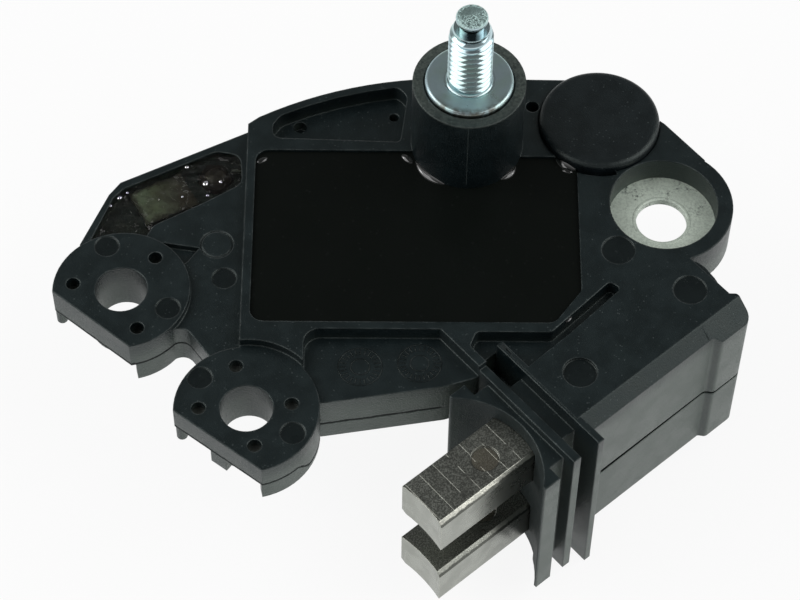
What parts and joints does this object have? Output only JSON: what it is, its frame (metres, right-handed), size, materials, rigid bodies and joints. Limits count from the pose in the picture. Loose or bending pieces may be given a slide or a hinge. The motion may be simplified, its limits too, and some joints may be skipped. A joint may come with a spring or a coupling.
{
  "type": "alternator voltage regulator",
  "caption": "Moulded regulator plate with screw lugs, potted electronics, threaded terminal stud and a finned holder whose sprung brushes slide out to the slip rings.",
  "frame": {"origin": "axis of the left lug's screw bore, in the plane of the screw seats", "axes": "+X along the potting well's long side towards the big lug, +Y away from the brushes, +Z out of the well along the stud"},
  "size_m": [0.0758, 0.0567, 0.0479],
  "materials": {
    "housing_plastic": "satin",
    "cover_plastic": "gloss",
    "resin": "gloss",
    "gel": "clear gloss",
    "aluminium": "satin",
    "alumina": "matte",
    "silicon": "satin",
    "bead": "gloss",
    "wire": "satin",
    "tinned_brass": "satin",
    "brass": "satin",
    "zinc_plated_steel": "bright",
    "capacitor_film": "gloss",
    "copper_graphite": "satin",
    "spring_steel": "bright",
    "copper_braid": "satin"
  },
  "bodies": {
    "holder": {"housing": "housing_plastic", "heat_sink_plate": "aluminium", "ceramic_substrate": "alumina", "regulator_chip": "silicon", "power_transistor": "silicon", "flyback_diode": "silicon", "bond_wires": "wire", "potting_compound": "resin", "left_lug_terminal": "tinned_brass", "front_lug_terminal": "tinned_brass", "ring_terminal": "tinned_brass", "terminal_stud": "zinc_plated_steel", "stud_busbar": "tinned_brass", "suppression_capacitor": "capacitor_film", "round_cover": "cover_plastic", "pocket_board": "alumina", "pocket_bead": "bead", "pocket_lead": "wire", "pocket_gel": "gel", "spring_upper": "spring_steel", "spring_lower": "spring_steel", "pigtail_upper": "copper_braid", "pigtail_lower": "copper_braid", "brush_terminal_upper": "brass", "brush_terminal_lower": "brass"},
    "brush_upper": {"brush_upper": "copper_graphite"},
    "brush_lower": {"brush_lower": "copper_graphite"}
  },
  "joints": [
    {"name": "brush_upper_slide", "type": "slide", "parent": "holder", "child": "brush_upper", "axis": [0.7547, 0.6561, 0], "range_m": [0, 0.0115], "stiffness_N_per_m": 150, "springref_m": -0.013, "deforming": ["spring_upper", "pigtail_upper"]},
    {"name": "brush_lower_slide", "type": "slide", "parent": "holder", "child": "brush_lower", "axis": [0.7547, 0.6561, 0], "range_m": [0, 0.0115], "stiffness_N_per_m": 150, "springref_m": -0.013, "deforming": ["spring_lower", "pigtail_lower"]}
  ]
}
